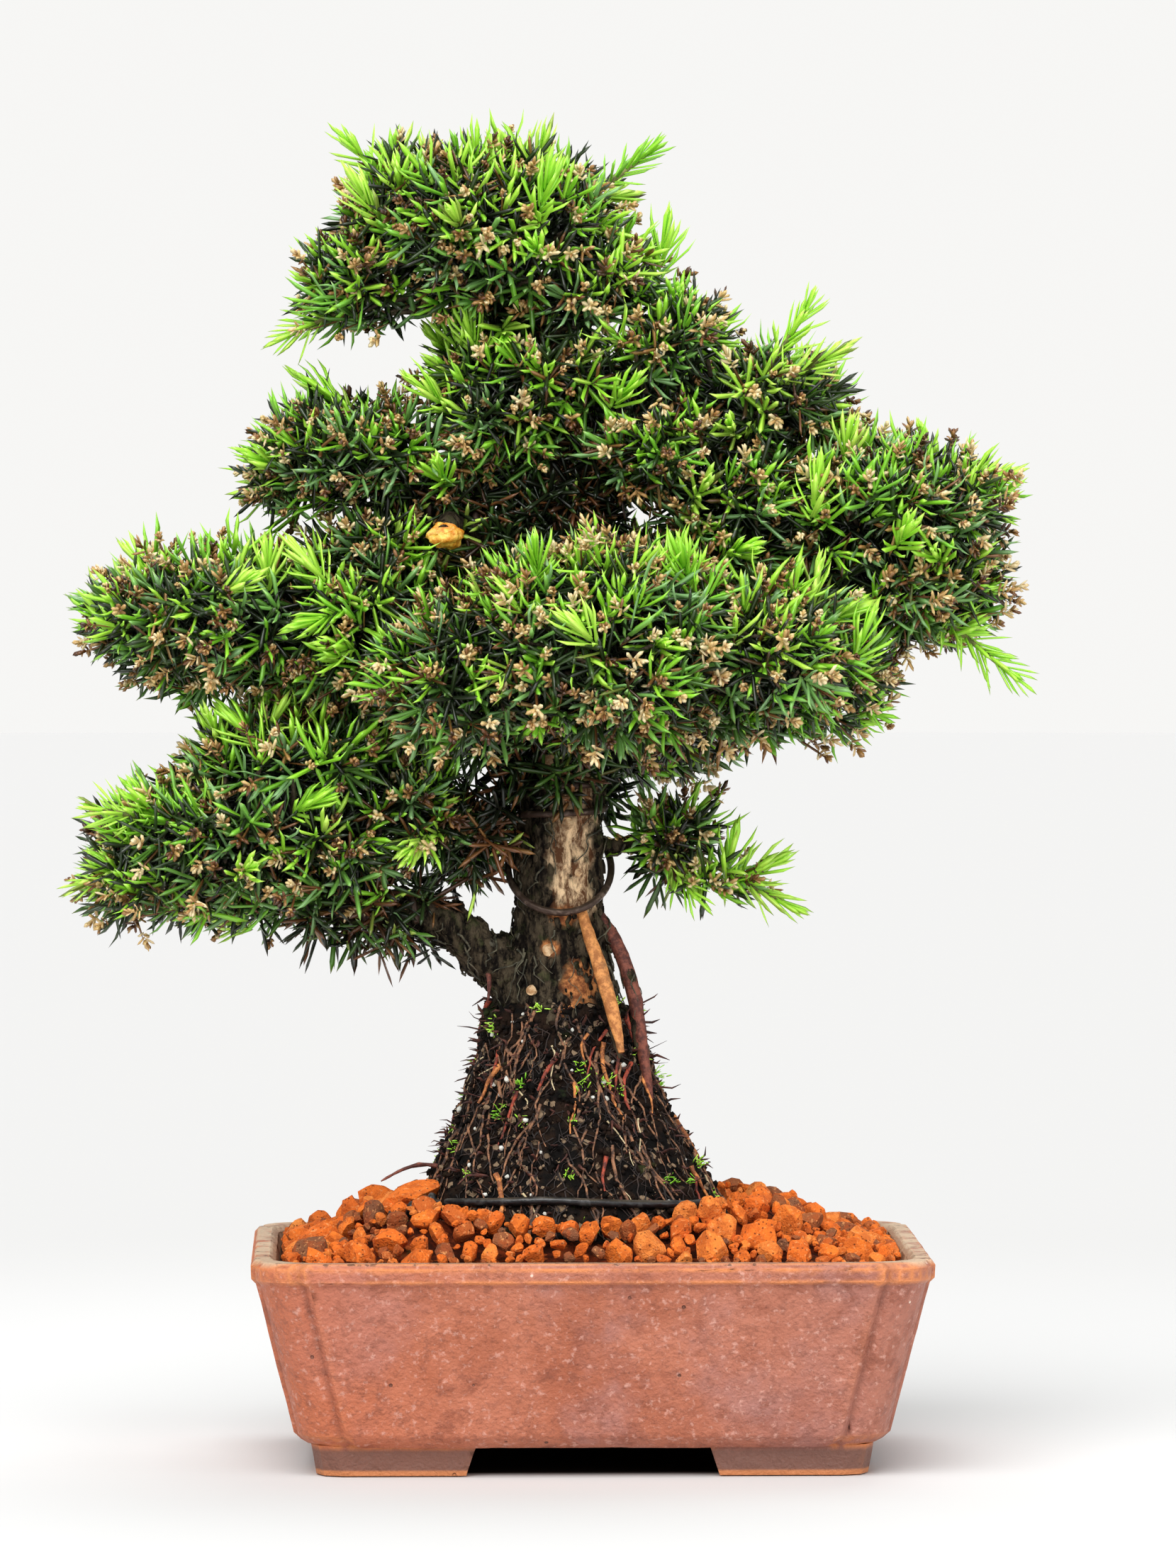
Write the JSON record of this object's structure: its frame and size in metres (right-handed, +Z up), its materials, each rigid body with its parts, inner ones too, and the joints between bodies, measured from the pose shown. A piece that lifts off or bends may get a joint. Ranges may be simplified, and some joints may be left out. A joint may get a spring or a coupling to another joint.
{
  "type": "bonsai tree in a pot",
  "caption": "Small needle-leaf bonsai with layered foliage pads, a thick trunk on a tall root mound, and an oblong footed clay pot topped with lava gravel.",
  "frame": {"origin": "centre of the whole plant's footprint, on the surface that the pot's feet stand on", "axes": "+Z up; -Y towards the front, the long side of the pot with the low branch on the left; +X to the viewer's right"},
  "size_m": [0.153, 0.0974, 0.2166],
  "materials": {
    "fired_clay": "matte",
    "screen_plastic": "matte",
    "bright_wire": "satin",
    "potting_soil": "matte",
    "lava_gravel": "matte",
    "root_soil": "matte",
    "bark": "matte",
    "brown_wire": "satin",
    "black_wire": "satin",
    "needles": "matte"
  },
  "bodies": {
    "root": {"anchor_wire": "black_wire", "anchor_wire_twist": "black_wire", "drain_screen_left": "screen_plastic", "drain_screen_right": "screen_plastic", "foliage_apex": "needles", "foliage_back_left": "needles", "foliage_back_low": "needles", "foliage_back_middle": "needles", "foliage_back_right": "needles", "foliage_back_top": "needles", "foliage_centre_front": "needles", "foliage_left_low": "needles", "foliage_left_middle": "needles", "foliage_neck": "needles", "foliage_right_low": "needles", "foliage_right_middle": "needles", "foliage_right_sprig": "needles", "foliage_right_top": "needles", "foliage_upper_left": "needles", "gravel": "lava_gravel", "low_bough_wire": "brown_wire", "neck_wire": "brown_wire", "pot": "fired_clay", "root_mound": "root_soil", "roots_trunk_and_boughs": "bark", "screen_clip_left": "bright_wire", "screen_clip_right": "bright_wire", "soil_bed": "potting_soil", "trunk_loop_wire": "brown_wire", "upper_bough_wire": "brown_wire"}
  },
  "joints": []
}
